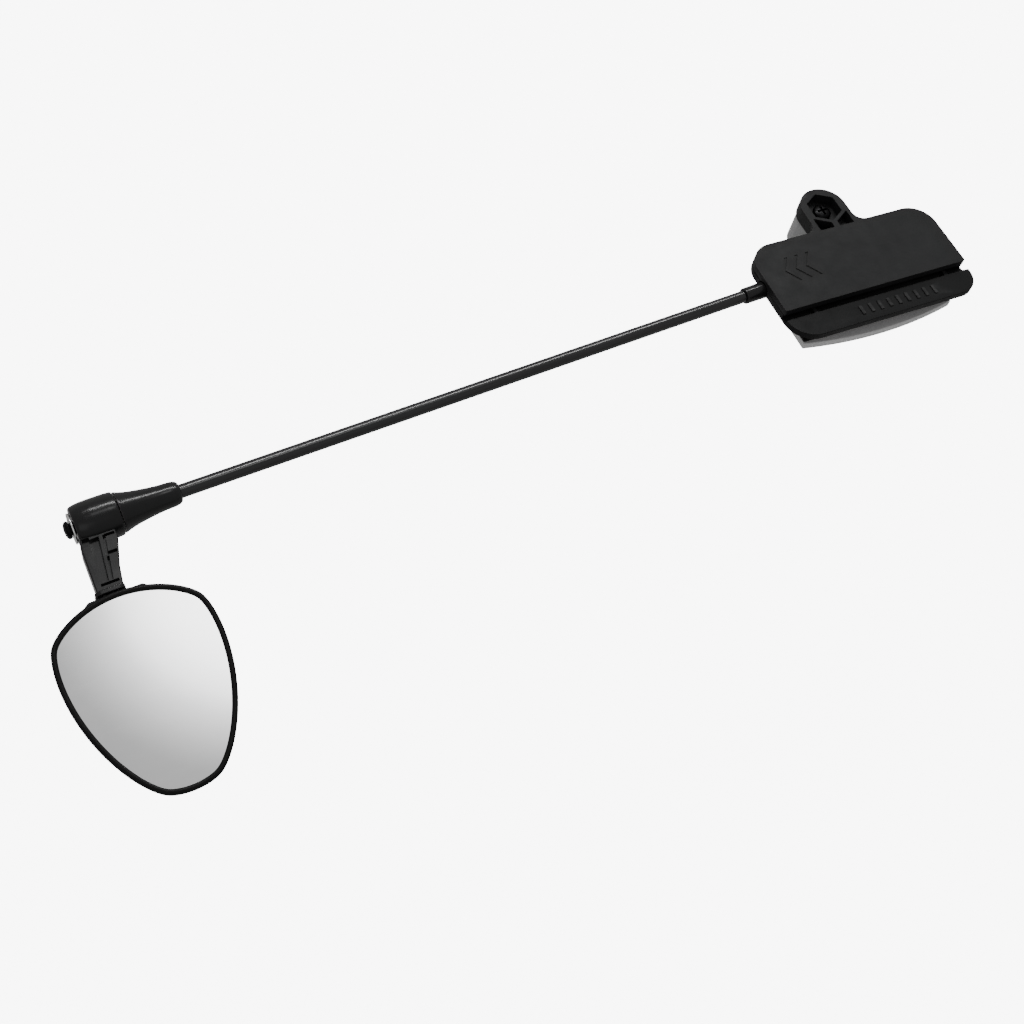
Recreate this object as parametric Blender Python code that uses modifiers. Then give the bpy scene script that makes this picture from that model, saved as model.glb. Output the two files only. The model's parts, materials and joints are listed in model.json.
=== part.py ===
"""Helmet mirror: a spring clip, a straight stem, a swinging arm and a pivoting oval mirror.

Lengths are in millimetres and are scaled to metres as each shape is made.
World frame: +X along the stem towards the clip, +Z out of the clip's front, +Y towards the boss.
The origin is on the flat inner face of the clip's base plate, where the clipped sheet lies.
"""
import math

import bmesh
import bpy
from mathutils import Vector

MM = 0.001
GAP = 0.3  # between touching pieces

# Stem: its axis is parallel to X through STEM_Y, STEM_Z
STEM_Y, STEM_Z = 4.4, 0.5
SHEATH_R, CORE_R, COLLAR_R = 1.75, 1.0, 2.4
SLEEVE_END = -206.5  # the stem leaves the sleeve here
SLEEVE_LENGTH = 15.2
SEAM = SLEEVE_END - SLEEVE_LENGTH
SLEEVE_SOCKET = 10.0  # how deep the stem sits in the sleeve
RING_SEAT = 0.8  # depth of the friction ring's seat in the sleeve's wide end
NUT_THICK, NUT_R = 2.4, 3.2
COLLAR_FACE = -38.4
COLLAR_INNER_END = -24.4
CORE_END = -21.6

# Head: the frame sits on the stem axis, turned about it
HEAD_X = -229.8
HEAD_TURN = 12.0  # degrees
BARREL_R = 5.6
BARREL_LOW = -2.9
BARREL_HIGH = SEAM - GAP - HEAD_X
SCREW_R = 1.5
WASHER_THICK = 0.4
BLADE_FRONT, BLADE_BACK = 3.2, -2.6

# Mirror outline, as a support function of the angle from its lowest point:
# radius + sum of HARMONICS[k] cos(k angle)
MIRROR_Y = -43.1
GLASS_RADIUS = 21.3
HARMONICS = {2: 2.68, 3: 1.645, 4: -0.54, 5: -0.38}
OVAL_SEGMENTS = 72
GLASS_FRONT = 4.4
GLASS_THICK = 1.2
FRAME_WIDTH = 1.4
LUG_TOP, LUG_LOW = -19.1, -26.2
LUG_HALF = 8.1
LUG_BACK, LUG_FRONT = -3.8, 2.6
PIVOT_Z = -0.6
PIVOT_R = 1.5
BUSH_R = 2.1
FOOT_THICK = 1.2
STUD_TOP, STUD_END = -12.9, -24.7
GROOVE_TOP, GROOVE_LOW = -23.2, -23.9  # the stud's groove for its clip
BUSH_LOW = -22.4
CLIP_ROOM = 3.0  # half width of the hollow round the stud's clip

# Clip, in its own frame: turned about Z from the stem, origin on the base plate's inner face
CLIP_TURN = -3.6  # degrees
CLIP_LEFT, CLIP_EDGE, STRIP_RIGHT = -32.2, 31.0, 32.2
CLIP_TOP, COVER_LOW, STRIP_LOW = 14.6, -9.2, -18.3
STRIP_STEP = COVER_LOW - 0.8
BASE_THICK, COVER_FRONT = 2.1, 4.4
CORNER_R = 7.8
STRIP_LEFT_R, STRIP_RIGHT_R = 8.3, 6.5
BOSS_Y, BOSS_R, BOSS_FILLET = 22.3, 7.3, 3.5
HEX_R = 5.4
RECESS_FLOOR = 1.3
RIB_DROP = 1.15  # from the hexagon's low corner to the pockets under it
POCKET_HALF = 5.9
PEG_R = 1.0
POST_BACK = -10.6
POST_R = 6.9
PIN_R, PIN_HALF = 1.0, 6.3
SCREW_LENGTH = 7.8
HINGE_Y, HINGE_Z = 17.4, -6.2
JAW_LEFT, JAW_RIGHT = -25.7, 26.8
JAW_FRONT, JAW_BACK = -5.8, -8.2
JAW_TOP, JAW_ENDS, JAW_MIDDLE = 11.0, -15.1, -17.7
JAW_CORNER = 4.0
NECK_HALF = 3.1
PAD_LEFT, PAD_RIGHT = -25.9, 26.6
PAD_LOW, PAD_TOP = -14.7, 8.0
PAD_FRONT, PAD_BACK = -4.5, -5.5
PAD_GROOVE, PAD_PITCH, PAD_DEPTH = 0.7, 2.7, 0.35
PAD_GROOVES = 8
CHEVRONS, CHEVRON_PITCH, CHEVRON_DEPTH = 3, 3.6, 0.25
GRIP_RIBS, GRIP_PITCH, GRIP_HEIGHT = 9, 3.2, 0.3
FINGER_GROOVES, FINGER_PITCH, FINGER_DEPTH = 4, 3.4, 0.4


def clear_scene():
    for old in list(bpy.data.objects):
        bpy.data.objects.remove(old, do_unlink=True)


def new_collection(name):
    collection = bpy.data.collections.new(name)
    bpy.context.scene.collection.children.link(collection)
    return collection


clear_scene()
parts = new_collection("bike_mirror")
cutters = new_collection("cutters")


def make_material(name, colour, roughness, metallic=0.0):
    material = bpy.data.materials.new(name)
    material.use_nodes = True
    shader = material.node_tree.nodes["Principled BSDF"]
    shader.inputs["Base Color"].default_value = (*colour, 1.0)
    shader.inputs["Roughness"].default_value = roughness
    shader.inputs["Metallic"].default_value = metallic
    material.diffuse_color = (*colour, 1.0)
    return material


def black_plastic(name):
    return make_material(name, (0.022, 0.022, 0.023), 0.45)


def grey_plastic(name):
    return make_material(name, (0.34, 0.34, 0.34), 0.5)


def steel(name):
    return make_material(name, (0.62, 0.62, 0.62), 0.3, 1.0)


def empty_frame(name, location, rotation=(0, 0, 0), parent=None):
    frame = bpy.data.objects.new(name, None)
    frame.parent = parent
    frame.location = Vector(location) * MM
    frame.rotation_euler = [math.radians(angle) for angle in rotation]
    parts.objects.link(frame)
    return frame


# ---------- shapes ----------

def add_object(name, mesh, parent=None, location=(0, 0, 0), rotation=(0, 0, 0), cutter=False):
    shape = bpy.data.objects.new(name, mesh)
    shape.parent = parent
    shape.location = Vector(location) * MM
    shape.rotation_euler = [math.radians(angle) for angle in rotation]
    if cutter:
        cutters.objects.link(shape)
        shape.hide_render = True
        shape.display_type = "WIRE"
    else:
        parts.objects.link(shape)
    return shape


def arc(centre, radius, start, end, steps):
    """Points on an arc, angles in degrees."""
    points = []
    for i in range(steps + 1):
        angle = math.radians(start + (end - start) * i / steps)
        points.append((centre[0] + radius * math.cos(angle), centre[1] + radius * math.sin(angle)))
    return points


def rounded_box_outline(x_low, x_high, y_low, y_high, radii, steps=8):
    """Outline of a rectangle; radii run from the low-left corner counter-clockwise."""
    corners = ((x_low, y_low, 1, 1, 180), (x_high, y_low, -1, 1, 270),
               (x_high, y_high, -1, -1, 0), (x_low, y_high, 1, -1, 90))
    points = []
    for (x, y, sx, sy, start), radius in zip(corners, radii):
        if radius:
            points += arc((x + sx * radius, y + sy * radius), radius, start, start + 90, steps)
        else:
            points.append((x, y))
    return points


def plate_mesh(name, outline, z_low, z_high):
    """A flat outline filled and extruded, as a closed mesh."""
    curve = bpy.data.curves.new(name, "CURVE")
    curve.dimensions = "2D"
    curve.fill_mode = "BOTH"
    curve.extrude = (z_high - z_low) / 2 * MM
    spline = curve.splines.new("POLY")
    spline.points.add(len(outline) - 1)
    for point, (x, y) in zip(spline.points, outline):
        point.co = (x * MM, y * MM, 0, 1)
    spline.use_cyclic_u = True
    holder = bpy.data.objects.new(name, curve)
    cutters.objects.link(holder)
    bpy.context.view_layer.update()
    depsgraph = bpy.context.evaluated_depsgraph_get()
    mesh = bpy.data.meshes.new_from_object(holder.evaluated_get(depsgraph))
    bpy.data.objects.remove(holder, do_unlink=True)
    work = bmesh.new()
    work.from_mesh(mesh)
    bmesh.ops.remove_doubles(work, verts=work.verts, dist=1e-6)
    bmesh.ops.dissolve_limit(work, angle_limit=math.radians(0.5), verts=work.verts,
                             edges=work.edges)
    bmesh.ops.translate(work, verts=work.verts, vec=(0, 0, (z_low + z_high) / 2 * MM))
    bmesh.ops.recalc_face_normals(work, faces=work.faces)
    work.to_mesh(mesh)
    work.free()
    return mesh


def box_mesh(name, low, high):
    mesh = bpy.data.meshes.new(name)
    work = bmesh.new()
    bmesh.ops.create_cube(work, size=1.0)
    size = Vector(high) - Vector(low)
    centre = (Vector(high) + Vector(low)) / 2
    bmesh.ops.scale(work, verts=work.verts, vec=size * MM)
    bmesh.ops.translate(work, verts=work.verts, vec=centre * MM)
    work.to_mesh(mesh)
    work.free()
    return mesh


def rod_mesh(name, radius, low, high, segments=24):
    """A cylinder on the local Z axis from low to high."""
    mesh = bpy.data.meshes.new(name)
    work = bmesh.new()
    bmesh.ops.create_cone(work, cap_ends=True, segments=segments, radius1=radius * MM,
                          radius2=radius * MM, depth=(high - low) * MM)
    bmesh.ops.translate(work, verts=work.verts, vec=(0, 0, (low + high) / 2 * MM))
    work.to_mesh(mesh)
    work.free()
    return mesh


def profile_mesh(name, profile, closed):
    mesh = bpy.data.meshes.new(name)
    edges = [(i, i + 1) for i in range(len(profile) - 1)]
    if closed:
        edges.append((len(profile) - 1, 0))
    mesh.from_pydata([(radius * MM, 0, height * MM) for radius, height in profile], edges, [])
    return mesh


def turned(name, profile, closed=True, segments=36, **place):
    """A profile of (radius, height) turned round local Z: down the outer side, up the bore."""
    shape = add_object(name, profile_mesh(name, profile, closed), **place)
    screw = shape.modifiers.new("Turn", "SCREW")
    screw.angle = math.radians(360)
    screw.steps = screw.render_steps = segments
    screw.use_merge_vertices = True
    screw.merge_threshold = 1e-5
    screw.use_smooth_shade = True
    return shape


def ring(name, inner, outer, low, high, segments=32, **place):
    profile = [(outer, high), (outer, low), (inner, low), (inner, high)]
    return turned(name, profile, segments=segments, **place)


def oval_points(offset, segments=OVAL_SEGMENTS):
    """Mirror outline moved outwards by offset, in the head's X and Y."""
    points = []
    for i in range(segments):
        angle = 2 * math.pi * i / segments
        support = GLASS_RADIUS + offset
        slope = 0.0
        for k, size in HARMONICS.items():
            support += size * math.cos(k * angle)
            slope -= k * size * math.sin(k * angle)
        across = support * math.sin(angle) + slope * math.cos(angle)
        down = support * math.cos(angle) - slope * math.sin(angle)
        points.append((across, MIRROR_Y - down))
    return points


def oval_shape(name, profile, closed=False, **place):
    """A profile of (offset, z) carried round the mirror outline, with flat ends if it is open."""
    work = bmesh.new()
    loops = []
    for offset, z in profile:
        loops.append([work.verts.new((x * MM, y * MM, z * MM)) for x, y in oval_points(offset)])
    pairs = list(zip(loops, loops[1:]))
    if closed:
        pairs.append((loops[-1], loops[0]))
    for first, second in pairs:
        for i in range(OVAL_SEGMENTS):
            j = (i + 1) % OVAL_SEGMENTS
            work.faces.new((first[i], first[j], second[j], second[i]))
    if not closed:
        work.faces.new(loops[0])
        work.faces.new(loops[-1])
    bmesh.ops.recalc_face_normals(work, faces=work.faces)
    mesh = bpy.data.meshes.new(name)
    work.to_mesh(mesh)
    work.free()
    return add_object(name, mesh, **place)


# ---------- operations ----------

def combine(shape, tool, operation):
    boolean = shape.modifiers.new(tool.name, "BOOLEAN")
    boolean.operation = operation
    boolean.solver = "EXACT"
    boolean.object = tool
    if tool.name not in cutters.objects:
        for owner in tool.users_collection:
            owner.objects.unlink(tool)
        cutters.objects.link(tool)
    tool.hide_render = True
    tool.display_type = "WIRE"


def cut(shape, *tools):
    for tool in tools:
        combine(shape, tool, "DIFFERENCE")


def join(shape, *tools):
    for tool in tools:
        combine(shape, tool, "UNION")


def bevel(shape, width, segments=2, angle=40):
    edge = shape.modifiers.new("Edges", "BEVEL")
    edge.width = width * MM
    edge.segments = segments
    edge.limit_method = "ANGLE"
    edge.angle_limit = math.radians(angle)


def cut_box(name, low, high, parent=None):
    return add_object(name, box_mesh(name, low, high), parent=parent, cutter=True)


def cut_rod(name, radius, low, high, segments=24, **place):
    return add_object(name, rod_mesh(name, radius, low, high, segments), cutter=True, **place)


ALONG_X = (0, 90, 0)
ALONG_Y = (-90, 0, 0)


# ---------- clip ----------

def cover_outline():
    """The shell's outline with the rounded boss on top, counter-clockwise."""
    corner_y = CLIP_TOP - CORNER_R
    fillet_x, fillet_y = BOSS_R + BOSS_FILLET, CLIP_TOP + BOSS_FILLET
    outline = arc((CLIP_LEFT + 0.6, COVER_LOW + 0.6), 0.6, 180, 270, 3)
    outline += arc((CLIP_EDGE - 0.6, COVER_LOW + 0.6), 0.6, 270, 360, 3)
    outline += arc((CLIP_EDGE - CORNER_R, corner_y), CORNER_R, 0, 90, 8)
    outline += arc((fillet_x, fillet_y), BOSS_FILLET, 270, 180, 6)
    outline += arc((0, BOSS_Y), BOSS_R, 0, 180, 24)
    outline += arc((-fillet_x, fillet_y), BOSS_FILLET, 360, 270, 6)
    outline += arc((CLIP_LEFT + CORNER_R, corner_y), CORNER_R, 90, 180, 8)
    return outline


def peg_places():
    return ((-22.0, 10.4), (22.0, 10.4), (-25.0, -5.0), (25.0, -5.0))


def chevron_tools(clip):
    """Three shallow chevrons that point along the stem."""
    tools = []
    for i in range(CHEVRONS):
        x = -25.5 + CHEVRON_PITCH * i
        outline = [(x, 4.0), (x + 3.0, 8.4), (x + 4.0, 8.4), (x + 1.0, 4.0), (x + 4.0, -0.4),
                   (x + 3.0, -0.4)]
        mesh = plate_mesh(f"chevron_{i}", outline, COVER_FRONT - CHEVRON_DEPTH, COVER_FRONT + 1)
        tools.append(add_object(f"chevron_{i}", mesh, parent=clip, cutter=True))
    return tools


def boss_tools(clip):
    """The hexagonal recess, the two pockets under it and the screw hole."""
    top = COVER_FRONT + 1
    tools = [cut_rod("hex_recess", HEX_R, RECESS_FLOOR, top, 6, parent=clip, location=(0, BOSS_Y, 0))]
    slope = math.tan(math.radians(30))
    low = CLIP_TOP - 0.2
    hex_low = BOSS_Y - HEX_R - RIB_DROP
    for side in (-1, 1):
        name = f"boss_pocket_{side}"
        outline = [(side, low), (side * POCKET_HALF, low),
                   (side * POCKET_HALF, hex_low + POCKET_HALF * slope), (side, hex_low + slope)]
        tools.append(add_object(name, plate_mesh(name, outline, RECESS_FLOOR, top), parent=clip,
                                cutter=True))
    tools.append(cut_rod("post_screw_hole", SCREW_R + GAP, -1, RECESS_FLOOR + 1, parent=clip,
                         location=(0, BOSS_Y, 0)))
    return tools


def make_cover(clip):
    mesh = plate_mesh("clip_cover", cover_outline(), BASE_THICK + GAP, COVER_FRONT)
    cover = add_object("clip_cover", mesh, parent=clip)
    boss = [(BOSS_R, CLIP_TOP + GAP)] + arc((0, BOSS_Y), BOSS_R, 0, 180, 24)
    boss += [(-BOSS_R, CLIP_TOP + GAP)]
    join(cover, add_object("boss_block", plate_mesh("boss_block", boss, 0.0, COVER_FRONT - 0.1),
                           parent=clip, cutter=True))
    for i, (x, y) in enumerate(peg_places()):
        join(cover, cut_rod(f"peg_{i}", PEG_R, 0.4, BASE_THICK + 1.0, 16, parent=clip,
                            location=(x, y, 0)))
    bevel(cover, 0.45)
    cut(cover, *boss_tools(clip), collar_bore("cover_bore", CORE_END + 1), *chevron_tools(clip))
    return cover


def collar_bore(name, inner_end):
    return cut_rod(name, COLLAR_R + GAP, COLLAR_FACE, inner_end,
                   location=(0, STEM_Y, STEM_Z), rotation=ALONG_X)


def make_base(clip):
    outline = arc((CLIP_LEFT + STRIP_LEFT_R, STRIP_LOW + STRIP_LEFT_R), STRIP_LEFT_R, 180, 270, 8)
    outline += arc((STRIP_RIGHT - STRIP_RIGHT_R, STRIP_LOW + STRIP_RIGHT_R), STRIP_RIGHT_R, 270, 360, 8)
    outline += arc((STRIP_RIGHT - 1.0, STRIP_STEP - 1.0), 1.0, 0, 90, 4)
    outline.append((CLIP_EDGE, STRIP_STEP))
    outline += arc((CLIP_EDGE - CORNER_R, CLIP_TOP - CORNER_R), CORNER_R, 0, 90, 8)
    outline += arc((CLIP_LEFT + CORNER_R, CLIP_TOP - CORNER_R), CORNER_R, 90, 180, 8)
    base = add_object("clip_base", plate_mesh("clip_base", outline, 0.0, BASE_THICK), parent=clip)
    bevel(base, 0.3)
    bridges = (-22.0, 24.0)
    bridge_half = 0.6
    lows = [CLIP_LEFT - 1] + [x + bridge_half for x in bridges]
    highs = [x - bridge_half for x in bridges] + [STRIP_RIGHT + 1]
    for i, (low, high) in enumerate(zip(lows, highs)):
        cut(base, cut_box(f"step_groove_{i}", (low, COVER_LOW - 1.7, 0.9),
                          (high, COVER_LOW + 0.4, BASE_THICK + 1), clip))
    for i in range(GRIP_RIBS):
        x = -9.0 + GRIP_PITCH * i
        join(base, cut_box(f"grip_rib_{i}", (x, -15.9, BASE_THICK - GRIP_HEIGHT),
                           (x + 1.0, -12.9, BASE_THICK + GRIP_HEIGHT), clip))
    for i, (x, y) in enumerate(peg_places()):
        cut(base, cut_rod(f"peg_hole_{i}", PEG_R + GAP, -1, BASE_THICK + 1, 16, parent=clip,
                          location=(x, y, 0)))
    hump_low, hump_high = -29.9, -19.6
    hump = cut_rod("socket_hump", COLLAR_R + GAP + 1.1, hump_low, hump_high,
                   location=(0, STEM_Y, STEM_Z), rotation=ALONG_X)
    cut(hump, cut_box("hump_top", (-40, -20, BASE_THICK - 0.2), (0, 20, 20)))
    join(base, hump)
    cut(base, collar_bore("base_bore", COLLAR_INNER_END + GAP))
    cut(base, cut_rod("retainer_pocket", 2.9, COLLAR_INNER_END, hump_high - 1,
                      location=(0, STEM_Y, STEM_Z), rotation=ALONG_X))
    return base


def make_post(clip):
    outline = arc((0, BOSS_Y), POST_R, 0, 180, 24)
    outline += [(-POST_R, CLIP_TOP + GAP), (POST_R, CLIP_TOP + GAP)]
    post = add_object("clip_post", plate_mesh("clip_post", outline, POST_BACK, -GAP), parent=clip)
    bevel(post, 0.3)
    cut(post, cut_box("post_slot", (-NECK_HALF - 0.4, 0, POST_BACK - 1),
                      (NECK_HALF + 0.4, HINGE_Y + 2.8, -3.2), clip))
    cut(post, cut_rod("post_screw_bore", SCREW_R + GAP, -7.4, 1, parent=clip,
                      location=(0, BOSS_Y, 0)))
    cut(post, cut_rod("post_pin_bore", PIN_R + GAP, -9, 9, parent=clip,
                      location=(0, HINGE_Y, HINGE_Z), rotation=ALONG_X))
    return post


def jaw_outline(steps=16):
    middle, half = (JAW_LEFT + JAW_RIGHT) / 2, (JAW_RIGHT - JAW_LEFT) / 2
    outline = []
    for i in range(steps + 1):
        t = 2 * i / steps - 1
        outline.append((middle + half * t, JAW_MIDDLE + (JAW_ENDS - JAW_MIDDLE) * t ** 2))
    corner_y = JAW_TOP - JAW_CORNER
    outline += arc((JAW_RIGHT - JAW_CORNER, corner_y), JAW_CORNER, 0, 90, 6)
    outline += [(NECK_HALF, JAW_TOP), (NECK_HALF, HINGE_Y), (-NECK_HALF, HINGE_Y),
                (-NECK_HALF, JAW_TOP)]
    outline += arc((JAW_LEFT + JAW_CORNER, corner_y), JAW_CORNER, 90, 180, 6)
    return outline


def make_jaw(hinge):
    local = [(x, y - HINGE_Y) for x, y in jaw_outline()]
    jaw = add_object("rear_jaw", plate_mesh("rear_jaw", local, JAW_BACK - HINGE_Z,
                                            JAW_FRONT - HINGE_Z), parent=hinge)
    bevel(jaw, 0.3)
    join(jaw, cut_rod("jaw_barrel", 2.5, -NECK_HALF - 0.1, NECK_HALF + 0.1, parent=hinge,
                      rotation=ALONG_X))
    cut(jaw, cut_box("spring_slot", (-1.6, -5.6, -5), (1.6, 5, 5), hinge))
    cut(jaw, cut_rod("jaw_pin_bore", PIN_R + GAP, -5, 5, parent=hinge, rotation=ALONG_X))
    for i in range(FINGER_GROOVES):
        y = -13.6 + FINGER_PITCH * i - HINGE_Y
        cut(jaw, cut_box(f"finger_groove_{i}", (-12 + i, y, JAW_BACK - HINGE_Z - 1),
                         (12 - i, y + 1.2, JAW_BACK - HINGE_Z + FINGER_DEPTH), hinge))
    return jaw


def make_pad(hinge):
    low = (PAD_LEFT, PAD_LOW - HINGE_Y, PAD_BACK - HINGE_Z)
    high = (PAD_RIGHT, PAD_TOP - HINGE_Y, PAD_FRONT - HINGE_Z)
    pad = add_object("jaw_pad", box_mesh("jaw_pad", low, high), parent=hinge)
    for i in range(PAD_GROOVES):
        y = low[1] + 2.1 + PAD_PITCH * i
        cut(pad, cut_box(f"pad_groove_{i}", (PAD_LEFT - 1, y, high[2] - PAD_DEPTH),
                         (PAD_RIGHT + 1, y + PAD_GROOVE, high[2] + 1), hinge))
    return pad


def make_spring(clip):
    """Turns round the pin with two straight legs towards the jaw."""
    wire, coil_r, turns, steps = 0.3, 1.75, 2.5, 14
    half_length, leg_y = 1.05, -4.6
    centre = Vector((0, HINGE_Y, HINGE_Z))
    points = [centre + Vector((-half_length, leg_y, coil_r))]
    total = int(turns * steps)
    for i in range(total + 1):
        angle = math.radians(90 - 360 * i / steps)
        x = -half_length + 2 * half_length * i / total
        points.append(centre + Vector((x, coil_r * math.cos(angle), coil_r * math.sin(angle))))
    points.append(centre + Vector((half_length, leg_y, -coil_r)))
    curve = bpy.data.curves.new("jaw_spring", "CURVE")
    curve.dimensions = "3D"
    curve.bevel_depth = wire * MM
    curve.bevel_resolution = 2
    curve.use_fill_caps = True
    spline = curve.splines.new("POLY")
    spline.points.add(len(points) - 1)
    for point, place in zip(spline.points, points):
        point.co = (*(place * MM), 1)
    spring = bpy.data.objects.new("jaw_spring", curve)
    spring.parent = clip
    parts.objects.link(spring)
    return spring


def screw_shape(name, head_r, head_h, shank_r, length, segments=24, **place):
    """Pan head on top of local Z = 0, shank below it, with a cross recess."""
    profile = [(0, head_h), (head_r * 0.55, head_h), (head_r * 0.85, head_h * 0.82),
               (head_r, head_h * 0.45), (head_r, 0), (shank_r, 0), (shank_r, -length + 0.4),
               (shank_r - 0.4, -length), (0, -length)]
    screw = turned(name, profile, closed=False, segments=segments, **place)
    for i, (dx, dy) in enumerate(((0.62, 0.16), (0.16, 0.62))):
        slot = cut_box(f"{name}_slot_{i}", (-dx * head_r, -dy * head_r, head_h * 0.45),
                       (dx * head_r, dy * head_r, head_h + 1), parent=screw)
        cut(screw, slot)
    return screw


# ---------- stem ----------

def make_stem():
    along = {"location": (0, STEM_Y, STEM_Z), "rotation": ALONG_X}
    socket = SLEEVE_END - SLEEVE_SOCKET
    core = add_object("stem_core", rod_mesh("stem_core", CORE_R, socket + 0.5, CORE_END), **along)
    sheath = ring("stem_sheath", CORE_R + GAP, SHEATH_R, socket + 1.0, COLLAR_FACE - GAP,
                  segments=32, **along)
    collar_profile = [(COLLAR_R, COLLAR_INNER_END), (COLLAR_R, COLLAR_FACE + 0.4),
                      (COLLAR_R - 0.4, COLLAR_FACE), (CORE_R + GAP, COLLAR_FACE),
                      (CORE_R + GAP, COLLAR_INNER_END)]
    collar = turned("stem_collar", collar_profile, segments=32, **along)
    retainer = ring("stem_retainer", CORE_R + 0.05, 2.4, COLLAR_INNER_END + 0.8,
                    COLLAR_INNER_END + 1.4, segments=24, **along)
    return core, sheath, collar, retainer


def make_sleeve():
    """Flares from the stem to the seam with the barrel; x is measured from the stem end."""
    outer = ((2.3, 0.0), (2.75, -0.5), (3.0, -1.3), (3.15, -2.4), (3.2, -4.0), (3.34, -5.7),
             (3.63, -8.1), (4.02, -10.7), (4.45, -12.8), (4.85, -14.2), (5.15, -14.9),
             (5.15, -SLEEVE_LENGTH))
    profile = [(radius, SLEEVE_END + x) for radius, x in outer]
    bore = SHEATH_R + GAP
    screw_bore = SCREW_R + GAP
    seat_r = 4.3
    socket = SLEEVE_END - SLEEVE_SOCKET
    profile += [(seat_r, SEAM), (seat_r, SEAM + RING_SEAT), (screw_bore, SEAM + RING_SEAT),
                (screw_bore, socket), (bore, socket), (bore, SLEEVE_END)]
    sleeve = turned("stem_sleeve", profile, location=(0, STEM_Y, STEM_Z), rotation=ALONG_X)
    nut_room = RING_SEAT + 2 * GAP + NUT_THICK
    cut(sleeve, cut_rod("nut_pocket", NUT_R + GAP, SEAM - 1, SEAM + nut_room, 6,
                        location=(0, STEM_Y, STEM_Z), rotation=ALONG_X))
    return sleeve


def make_hinge_fasteners():
    along = {"location": (0, STEM_Y, STEM_Z), "rotation": ALONG_X}
    nut_low = SEAM + RING_SEAT + GAP
    nut_high = nut_low + NUT_THICK
    nut = add_object("hinge_nut", rod_mesh("hinge_nut", NUT_R, nut_low, nut_high, 6), **along)
    cut(nut, cut_rod("nut_thread", SCREW_R + 0.1, nut_low - 1, nut_high + 1, **along))
    friction = ring("friction_ring", SCREW_R + GAP, 4.0, SEAM, SEAM + RING_SEAT - GAP, **along)
    rim = HEAD_X + BARREL_LOW
    washer_face = rim - GAP - WASHER_THICK
    washer = ring("hinge_washer", SCREW_R + 0.2, 3.9, washer_face, rim - GAP, **along)
    wave = ring("wave_washer", SCREW_R + GAP, 3.0, rim + 0.1, rim + 0.7, **along)
    head_face = washer_face - GAP
    screw = screw_shape("hinge_screw", 2.2, 1.4, SCREW_R, nut_high + 0.2 - head_face,
                        location=(head_face, STEM_Y, STEM_Z), rotation=(0, -90, 0))
    return nut, friction, washer, wave, screw


# ---------- head ----------

def blade_tools(head):
    """Channels between the blade's ribs and raised lands, cut from its front."""
    floor, top = 1.4, 9.0
    outlines = {"middle_channel": [(-1.2, -5.0), (-2.2, -16.0), (-0.3, -16.0), (1.3, -5.0)],
                "corner_pocket": [(-2.7, -4.4), (-2.9, -6.6), (-1.1, -6.6), (-0.9, -4.4)],
                "window_left": [(2.2, -5.0), (1.2, -10.0), (1.9, -10.0), (2.9, -5.0)],
                "window_top": [(2.6, -4.9), (2.5, -5.6), (5.0, -5.6), (5.0, -4.9)],
                "window_low": [(1.4, -9.2), (1.3, -10.0), (4.0, -10.0), (4.2, -9.2)],
                "strip_channel": [(1.3, -10.3), (0.2, -16.0), (0.8, -16.0), (1.9, -10.3)],
                "cross_channel": [(-2.4, -16.2), (-2.4, -16.9), (2.0, -16.9), (2.0, -16.2)]}
    return [add_object(name, plate_mesh(name, outline, floor, top), parent=head, cutter=True)
            for name, outline in outlines.items()]


def make_arm(head):
    low, high = BARREL_LOW, BARREL_HIGH
    seat_r = 3.3
    profile = [(BARREL_R - 0.3, high), (BARREL_R - 0.12, high - 0.3), (BARREL_R, high - 2.0),
               (BARREL_R, low + 4.2), (BARREL_R - 0.2, low + 1.6), (BARREL_R - 0.45, low + 0.5),
               (BARREL_R - 0.75, low), (seat_r, low), (seat_r, low + 1.0), (SCREW_R, low + 1.0),
               (SCREW_R, high)]
    arm = turned("head_arm", profile, parent=head, rotation=ALONG_X)
    side = [(-2.8, -3.9), (-3.2, -4.8), (-3.6, -7.5), (-4.0, -18.2), (2.4, -18.2), (3.3, -13.5),
            (5.5, -6.5), (5.5, -3.9)]
    blade = add_object("arm_blade", plate_mesh("arm_blade", side, BLADE_BACK, BLADE_FRONT),
                       parent=head, cutter=True)
    bevel(blade, 0.35)
    foot_outline = rounded_box_outline(-4.5, 2.8, -3.3, 3.4, (1.5,) * 4, 4)
    foot = add_object("arm_foot", plate_mesh("arm_foot", foot_outline, 0.0, FOOT_THICK), parent=head,
                      location=(0, LUG_TOP + GAP + FOOT_THICK, 0), rotation=(90, 0, 0), cutter=True)
    join(arm, blade, foot)
    cut(arm, *blade_tools(head))
    cut(arm, cut_rod("screw_bore", SCREW_R + GAP, low - 1, high + 1, parent=head,
                     rotation=ALONG_X))
    cut(arm, cut_rod("stud_bore", PIVOT_R + GAP, LUG_TOP - 1, STUD_TOP + GAP, parent=head,
                     location=(0, 0, PIVOT_Z), rotation=ALONG_Y))
    return arm


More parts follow.
